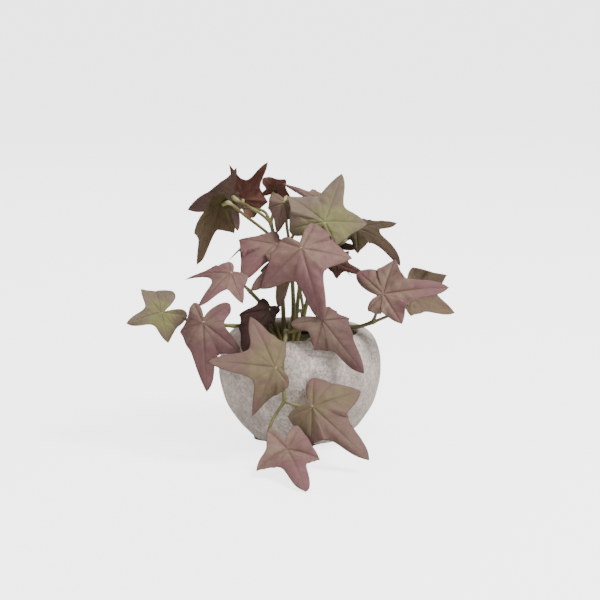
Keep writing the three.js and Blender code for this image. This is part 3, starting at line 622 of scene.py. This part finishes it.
def filler_piece():
    """The filling: a smooth barrel inside the wall, and a lumpy top. The top's height is a sum of short sine
    waves in both directions and a bell-shaped heap round the stalks."""
    side = spaced([[0, FILLER_BOTTOM], *FILLER_OUTSIDE], 2.5)
    inwards = np.linspace(FILLER_TOP_RADIUS, 0, FILLER_TOP_STEPS)
    top = np.stack([inwards, np.full(FILLER_TOP_STEPS, float(FILLER_TOP))], axis=-1)
    profile = np.concatenate([side, top])
    angle = full_circle(TURNED_COLUMNS)
    radius, height = profile[1:-1, 0][:, None], profile[1:-1, 1][:, None]
    x, y = radius * np.cos(angle), radius * np.sin(angle)
    lumps = np.sin(0.9 * x + 1.2 * np.sin(0.5 * y)) * np.sin(0.8 * y + np.sin(0.63 * x + 1))
    lumps = lumps + 0.6 * np.sin(1.9 * x + 1.3 * y) * np.sin(1.7 * y - 1.1 * x + 2)
    heap = HEAP_HEIGHT * np.exp(-((x - HEAP_MIDDLE[0]) ** 2 + (y - HEAP_MIDDLE[1]) ** 2) / 300)
    on_top = np.clip((height - 71) / 1, 0, 1) * np.clip((43.5 - radius) / 4, 0, 1)
    rings = ring_points(radius, angle, height + on_top * (lumps + heap))
    return turned_skin("filling", rings, [0, 0, FILLER_BOTTOM], rings[-1].mean(axis=0))


# Shader groups

def add(tree, kind, inputs=None, **settings):
    """A new shader node. An input is either another node's output, which is linked, or a plain value."""
    node = tree.nodes.new(kind)
    for key, value in settings.items():
        setattr(node, key, value)
    for key, value in (inputs or {}).items():
        socket = node.inputs[key]
        if isinstance(value, bpy.types.NodeSocket):
            tree.links.new(value, socket)
        else:
            socket.default_value = value
    return node


def calc(tree, operation, *values):
    return add(tree, "ShaderNodeMath", dict(enumerate(values)), operation=operation).outputs[0]


def blend_colour(tree, amount, first, second):
    node = add(tree, "ShaderNodeMix", {0: amount, 6: first, 7: second}, data_type="RGBA")
    return node.outputs[2]


def ease(tree, value, low, high):
    """0 below low, 1 above high, smooth between."""
    node = add(tree, "ShaderNodeMapRange", {0: value, 1: low, 2: high}, interpolation_type="SMOOTHSTEP")
    return node.outputs[0]


def new_group(name, inputs, outputs):
    """A new node group with its sockets, and the sockets that give and take values inside it."""
    group = bpy.data.node_groups.new(name, "ShaderNodeTree")
    for kind, title in inputs:
        group.interface.new_socket(title, in_out="INPUT", socket_type="NodeSocket" + kind)
    for kind, title in outputs:
        group.interface.new_socket(title, in_out="OUTPUT", socket_type="NodeSocket" + kind)
    return group, group.nodes.new("NodeGroupInput").outputs, group.nodes.new("NodeGroupOutput").inputs


def mottle_group():
    """Soft patches from 0 to 1 at one size: noise with its middle values spread out."""
    group, given, result = new_group("soft_mottle", [("Vector", "Place"), ("Float", "Scale")],
        [("Float", "Mask")])
    noise = add(group, "ShaderNodeTexNoise", {"Vector": given["Place"], "Scale": given["Scale"],
        "Detail": 3.0, "Roughness": 0.6})
    group.links.new(ease(group, noise.outputs["Fac"], 0.36, 0.64), result["Mask"])
    return group


def weave_group():
    """A fine over-and-under weave as a height: the product of two crossing sine waves, plus noise."""
    group, given, result = new_group("cloth_weave", [("Vector", "Place"), ("Float", "Scale")],
        [("Float", "Height")])
    place = add(group, "ShaderNodeVectorMath", {0: given["Place"], "Scale": given["Scale"]},
        operation="SCALE")
    split = add(group, "ShaderNodeSeparateXYZ", {0: place.outputs[0]}).outputs
    over = calc(group, "SINE", split[0])
    under = calc(group, "SINE", split[1])
    noise = add(group, "ShaderNodeTexNoise", {"Vector": given["Place"], "Scale": 60.0, "Detail": 4.0})
    total = calc(group, "MULTIPLY_ADD", over, under, noise.outputs["Fac"])
    group.links.new(total, result["Height"])
    return group


def one_vein_group():
    """One main vein from the joint along a direction, and the side veins that leave it, as two masks. The
    vein is a line that thins outwards; the side veins are slanted lines at a steady spacing."""
    group, given, result = new_group("one_vein", [("Vector", "Place"), ("Vector", "Direction")],
        [("Float", "Main"), ("Float", "Side")])
    ahead = add(group, "ShaderNodeVectorMath", {0: given["Place"], 1: given["Direction"]},
        operation="DOT_PRODUCT").outputs["Value"]
    crossed = add(group, "ShaderNodeVectorMath", {0: given["Direction"], 1: given["Place"]},
        operation="CROSS_PRODUCT")
    aside = add(group, "ShaderNodeSeparateXYZ", {0: crossed.outputs[0]}).outputs[2]
    aside = calc(group, "ABSOLUTE", aside)
    in_front = calc(group, "GREATER_THAN", ahead, 0.0)
    width = calc(group, "MULTIPLY_ADD", ahead, -0.011, 0.017)
    near = calc(group, "DIVIDE", aside, width)
    main = calc(group, "MULTIPLY", calc(group, "SUBTRACT", 1.0, ease(group, near, 0.3, 1.6)), in_front)
    slant = calc(group, "MULTIPLY_ADD", aside, -1.0, ahead)
    turn = calc(group, "FRACT", calc(group, "MULTIPLY", slant, 8.5))
    line = calc(group, "ABSOLUTE", calc(group, "SUBTRACT", turn, 0.5))
    line = ease(group, line, 0.4, 0.5)
    within = calc(group, "LESS_THAN", aside, calc(group, "MULTIPLY", ahead, 0.62))
    fade = calc(group, "SUBTRACT", 1.0, ease(group, aside, 0.06, 0.24))
    side = calc(group, "MULTIPLY", calc(group, "MULTIPLY", line, within),
        calc(group, "MULTIPLY", fade, in_front))
    group.links.new(main, result["Main"])
    group.links.new(side, result["Side"])
    return group


def leaf_veins_group():
    """All five main veins and their side veins, in the plain leaf form's own coordinates."""
    group, given, result = new_group("leaf_veins", [("Vector", "Place")],
        [("Float", "Main"), ("Float", "Side")])
    vein = one_vein_group()
    main, side = 0.0, 0.0
    for degrees in LEAF_FORM["veins"]:
        inputs = {"Place": given["Place"], "Direction": (*polar(degrees, 1.0), 0.0)}
        node = add(group, "ShaderNodeGroup", inputs, node_tree=vein)
        main = calc(group, "MAXIMUM", node.outputs["Main"], main)
        side = calc(group, "MAXIMUM", node.outputs["Side"], side)
    group.links.new(main, result["Main"])
    group.links.new(side, result["Side"])
    return group


def pits_group():
    """Small scattered pits and specks: the inside of a few cells of a cell pattern, picked by noise."""
    group, given, result = new_group("pits_and_specks", [("Vector", "Place"), ("Float", "Scale")],
        [("Float", "Pits"), ("Float", "Specks")])
    masks = []
    for factor, low, high in ((1.0, 0.18, 0.32), (2.3, 0.12, 0.3)):
        scale = calc(group, "MULTIPLY", given["Scale"], factor)
        cells = add(group, "ShaderNodeTexVoronoi", {"Vector": given["Place"], "Scale": scale})
        dots = calc(group, "SUBTRACT", 1.0, ease(group, cells.outputs["Distance"], low, high))
        noise = add(group, "ShaderNodeTexNoise", {"Vector": given["Place"], "Scale": 55.0, "Detail": 2.0})
        masks.append(calc(group, "MULTIPLY", dots, ease(group, noise.outputs["Fac"], 0.48, 0.62)))
    group.links.new(masks[0], result["Pits"])
    group.links.new(masks[1], result["Specks"])
    return group


GROUPS = {
    "soft_mottle": mottle_group(),
    "cloth_weave": weave_group(),
    "leaf_veins": leaf_veins_group(),
    "pits_and_specks": pits_group(),
}


def place_group(tree, name, **inputs):
    return add(tree, "ShaderNodeGroup", inputs, node_tree=GROUPS[name]).outputs


def mottle(tree, place, scale):
    return place_group(tree, "soft_mottle", Place=place, Scale=scale)["Mask"]


def mark_value(tree, name):
    """The number that a piece carries at each of its points under this name."""
    return add(tree, "ShaderNodeAttribute", attribute_name=name).outputs["Fac"]


def tint_over(tree, colour, mask, amount, tint):
    """Lays a tint over a colour where the mask is, by the amount where the mask is full."""
    return blend_colour(tree, calc(tree, "MULTIPLY", mask, amount), colour, tint)


# Materials

def new_material(name, roughness, **plain):
    """A new material with its tree, its shader and the place on the object. Each further setting is a shader
    input's name with its spaces written as underscores."""
    material = bpy.data.materials.new(name)
    material.use_nodes = True
    tree = material.node_tree
    shader = tree.nodes["Principled BSDF"]
    shader.inputs["Roughness"].default_value = roughness
    for key, value in plain.items():
        shader.inputs[key.replace("_", " ")].default_value = value
    place = add(tree, "ShaderNodeTexCoord").outputs["Object"]
    return material, tree, shader, place


def bump(tree, shader, height, strength, distance):
    node = add(tree, "ShaderNodeBump", {"Height": height, "Strength": strength, "Distance": distance})
    tree.links.new(node.outputs[0], shader.inputs["Normal"])


def rgb(red, green, blue):
    return red, green, blue, 1.0


# A leaf's colour in its middle, towards its edge and along its veins.
LEAF_COLOURS = {
    "rosy": (rgb(0.26, 0.17, 0.122), rgb(0.215, 0.104, 0.102), rgb(0.16, 0.088, 0.076)),
    "tan": (rgb(0.2, 0.155, 0.08), rgb(0.195, 0.114, 0.092), rgb(0.165, 0.122, 0.066)),
    "green": (rgb(0.265, 0.25, 0.096), rgb(0.235, 0.167, 0.12), rgb(0.25, 0.26, 0.11)),
    "dark": (rgb(0.075, 0.034, 0.023), rgb(0.082, 0.03, 0.025), rgb(0.045, 0.018, 0.014)),
    "olive": (rgb(0.085, 0.064, 0.018), rgb(0.095, 0.05, 0.03), rgb(0.1, 0.085, 0.03)),
}


def leaf_material(kind):
    """Leaf cloth: one colour in the middle and another towards the edge, in uneven patches, with pressed
    veins, a faint weave, and a duller under face. A leaf's tone scales the result: its own lighter or darker
    colour, and painted shade on leaves that lie in shadow."""
    middle, edge, vein = LEAF_COLOURS[kind]
    material, tree, shader, place = new_material("leaf_" + kind, 0.62, Sheen_Weight=0.03,
        Sheen_Roughness=0.5, Specular_IOR_Level=0.28)
    flat = add(tree, "ShaderNodeUVMap", uv_map="blade").outputs[0]
    far = add(tree, "ShaderNodeVectorMath", {0: flat}, operation="LENGTH").outputs["Value"]
    broad = mottle(tree, place, 26.0)
    fine = mottle(tree, place, 120.0)
    veins = place_group(tree, "leaf_veins", Place=flat)
    spread = calc(tree, "MULTIPLY_ADD", broad, 0.6, far)
    colour = blend_colour(tree, ease(tree, spread, 0.3, 1.0), middle, edge)
    shade = rgb(*(0.72 * c for c in edge[:3]))
    colour = tint_over(tree, colour, fine, 0.35, shade)
    colour = tint_over(tree, colour, veins["Main"], 0.45, vein)
    colour = tint_over(tree, colour, veins["Side"], 0.22, vein)
    under = mark_value(tree, "under")
    dull = rgb(*(0.65 * a + 0.25 * b for a, b in zip(middle[:3], edge[:3])))
    colour = tint_over(tree, colour, under, 0.6, dull)
    # Painted shade in part: the tone darkens leaves that lie in shadow, as well as setting a leaf's own
    # lightness.
    tone_and_shade = mark_value(tree, "tone_and_shade")
    toned = add(tree, "ShaderNodeVectorMath", {0: colour, "Scale": tone_and_shade}, operation="SCALE").outputs[0]
    tree.links.new(toned, shader.inputs["Base Color"])
    weave = place_group(tree, "cloth_weave", Place=flat, Scale=900.0)["Height"]
    height = calc(tree, "MULTIPLY_ADD", veins["Side"], -0.45, calc(tree, "MULTIPLY", weave, 0.12))
    height = calc(tree, "MULTIPLY_ADD", veins["Main"], -0.8, height)
    bump(tree, shader, height, 0.55, 0.0006)
    rough = calc(tree, "MULTIPLY_ADD", fine, 0.14, 0.55)
    tree.links.new(rough, shader.inputs["Roughness"])
    return material


def stalk_material():
    """Moulded stalk: olive green with darker stretches and faint specks, and pale yellow-green sleeves at
    the leaves."""
    material, tree, shader, place = new_material("stalk", 0.45)
    long_patch = mottle(tree, place, 30.0)
    fine = mottle(tree, place, 900.0)
    sleeve = mark_value(tree, "sleeve")
    colour = blend_colour(tree, long_patch, rgb(0.12, 0.105, 0.035), rgb(0.25, 0.225, 0.08))
    colour = tint_over(tree, colour, sleeve, 0.9, rgb(0.42, 0.4, 0.17))
    colour = tint_over(tree, colour, fine, 0.1, rgb(0.14, 0.11, 0.045))
    tree.links.new(colour, shader.inputs["Base Color"])
    tree.links.new(calc(tree, "MULTIPLY_ADD", fine, 0.2, 0.38), shader.inputs["Roughness"])
    bump(tree, shader, fine, 0.15, 0.0001)
    return material


def pot_material():
    """Chalky cement: pale warm grey, clouded by darker washes and faint runs down the wall, with fine grey
    specks and open pits, and painted shade, a dark olive-brown, on the inside of the wall."""
    material, tree, shader, place = new_material("pot_cement", 0.85)
    clouds = mottle(tree, place, 36.0)
    wash = mottle(tree, place, 130.0)
    grain = mottle(tree, place, 420.0)
    drawn = add(tree, "ShaderNodeVectorMath", {0: place, 1: (1.0, 1.0, 0.3)}, operation="MULTIPLY")
    runs = mottle(tree, drawn.outputs[0], 110.0)
    marks = place_group(tree, "pits_and_specks", Place=place, Scale=420.0)
    colour = blend_colour(tree, clouds, rgb(0.8, 0.7, 0.64), rgb(0.45, 0.37, 0.315))
    colour = tint_over(tree, colour, runs, 0.4, rgb(0.46, 0.38, 0.335))
    colour = tint_over(tree, colour, wash, 0.5, rgb(0.85, 0.75, 0.69))
    colour = tint_over(tree, colour, grain, 0.7, rgb(0.36, 0.29, 0.25))
    colour = tint_over(tree, colour, marks["Specks"], 0.6, rgb(0.2, 0.18, 0.165))
    colour = tint_over(tree, colour, marks["Pits"], 0.7, rgb(0.16, 0.14, 0.13))
    # Painted shade: the inside of the wall, from the lip down, is darkened to olive-brown.
    inside = mark_value(tree, "inside")
    colour = tint_over(tree, colour, inside, 0.85, rgb(0.1, 0.085, 0.05))
    tree.links.new(colour, shader.inputs["Base Color"])
    tree.links.new(calc(tree, "MULTIPLY_ADD", wash, 0.12, 0.78), shader.inputs["Roughness"])
    height = calc(tree, "MULTIPLY_ADD", marks["Pits"], -1.0, calc(tree, "MULTIPLY", grain, 0.35))
    height = calc(tree, "MULTIPLY_ADD", marks["Specks"], -0.35, height)
    bump(tree, shader, height, 0.7, 0.0006)
    return material


def filler_material():
    """Planting filler: dark brown crumbs with some moss green."""
    material, tree, shader, place = new_material("filler", 0.9)
    moss = mottle(tree, place, 75.0)
    crumbs = mottle(tree, place, 420.0)
    colour = blend_colour(tree, moss, rgb(0.035, 0.024, 0.014), rgb(0.06, 0.06, 0.02))
    colour = tint_over(tree, colour, crumbs, 0.5, rgb(0.09, 0.065, 0.035))
    tree.links.new(colour, shader.inputs["Base Color"])
    bump(tree, shader, crumbs, 0.9, 0.0012)
    return material


def foot_material():
    """Foot pad: dark grey rubber with a dusty bloom."""
    material, tree, shader, place = new_material("foot_rubber", 0.7)
    dust = mottle(tree, place, 180.0)
    colour = blend_colour(tree, dust, rgb(0.035, 0.03, 0.028), rgb(0.085, 0.078, 0.072))
    tree.links.new(colour, shader.inputs["Base Color"])
    bump(tree, shader, dust, 0.3, 0.0003)
    return material


# The whole object

def fit_piece(piece, node, material):
    """Gives a new piece its finish and lets it stand for its CAD node."""
    piece.data.materials.append(material)
    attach(piece, "root")
    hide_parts(node)


def make_plant():
    blades = {kind: leaf_material(kind) for kind in LEAF_COLOURS}
    for number, leaf in enumerate(LEAVES):
        kind = leaf["colour"]
        fit_piece(leaf_piece(leaf, number), "leaf_" + leaf["name"], blades[kind])
    green = stalk_material()
    for stalk in STALKS:
        fit_piece(stalk_piece(stalk), stalk["name"], green)


def make_pot():
    fit_piece(pot_piece(), "pot", pot_material())
    fit_piece(foot_piece(), "foot_pad", foot_material())
    fit_piece(filler_piece(), "planting_filler", filler_material())


# Stage

# Metres, degrees and watts; the lens and the sensor in millimetres.
VIEW_TILT = 10.5
VIEW_DISTANCE = 1.5
VIEW_MIDDLE = Vector((0, 0, 0.107))
LENS = 120
SENSOR_WIDTH = 36
LAMP_AIM = Vector((0, 0, 0.1))
LAMPS = [
    dict(name="key", place=(0.85, -0.55, 1.5), size=0.7, power=42),
    dict(name="fill", place=(-1.3, -1.2, 0.9), size=1.2, power=7),
    dict(name="back", place=(-0.3, 1.3, 1.3), size=1.0, power=10),
]
FLOOR_REACH = 20.0

# How strongly the floor and the sky glow where the camera sees them, and the sky's light on the plant.
FLOOR_GLOW = 3.0
SKY_GLOW = 3.2
SKY_LIGHT = 0.4


def make_camera():
    """Looks along +Y and a little down, from as far away as a long lens needs."""
    tilt = np.radians(VIEW_TILT)
    sight = Vector((0, np.cos(tilt), -np.sin(tilt)))
    data = bpy.data.cameras.new("camera")
    data.lens = LENS
    data.sensor_width = SENSOR_WIDTH
    camera = bpy.data.objects.new("camera", data)
    camera.location = VIEW_MIDDLE - VIEW_DISTANCE * sight
    camera.rotation_euler = sight.to_track_quat("-Z", "Y").to_euler()
    bpy.context.collection.objects.link(camera)
    bpy.context.scene.camera = camera


def make_lamp(name, place, size, power):
    data = bpy.data.lights.new(name, "AREA")
    data.shape = "DISK"
    data.size = size
    data.energy = power
    lamp = bpy.data.objects.new(name, data)
    lamp.location = place
    aim = LAMP_AIM - Vector(place)
    lamp.rotation_euler = aim.to_track_quat("-Z", "Y").to_euler()
    bpy.context.collection.objects.link(lamp)


def make_floor():
    mesh = bpy.data.meshes.new("floor")
    corners = [(x * FLOOR_REACH, y * FLOOR_REACH, 0) for x, y in ((-1, -1), (1, -1), (1, 1), (-1, 1))]
    mesh.from_pydata(corners, [], [(0, 1, 2, 3)])
    floor = bpy.data.objects.new("floor", mesh)
    material = bpy.data.materials.new("pale_floor")
    material.use_nodes = True
    tree = material.node_tree
    shader = tree.nodes["Principled BSDF"]
    shader.inputs["Base Color"].default_value = rgb(0.8, 0.8, 0.8)
    shader.inputs["Roughness"].default_value = 0.9
    shader.inputs["Emission Color"].default_value = rgb(1.0, 1.0, 1.0)
    seen = add(tree, "ShaderNodeLightPath").outputs["Is Camera Ray"]
    tree.links.new(calc(tree, "MULTIPLY", seen, FLOOR_GLOW), shader.inputs["Emission Strength"])
    mesh.materials.append(material)
    bpy.context.collection.objects.link(floor)


def make_stage():
    make_floor()
    for lamp in LAMPS:
        make_lamp(**lamp)
    world = bpy.data.worlds.new("studio")
    world.use_nodes = True
    tree = world.node_tree
    background = tree.nodes["Background"]
    background.inputs["Color"].default_value = rgb(1.0, 1.0, 1.0)
    seen = add(tree, "ShaderNodeLightPath").outputs["Is Camera Ray"]
    tree.links.new(calc(tree, "MULTIPLY_ADD", seen, SKY_GLOW, SKY_LIGHT), background.inputs["Strength"])
    bpy.context.scene.world = world


make_plant()
make_pot()
make_camera()
make_stage()
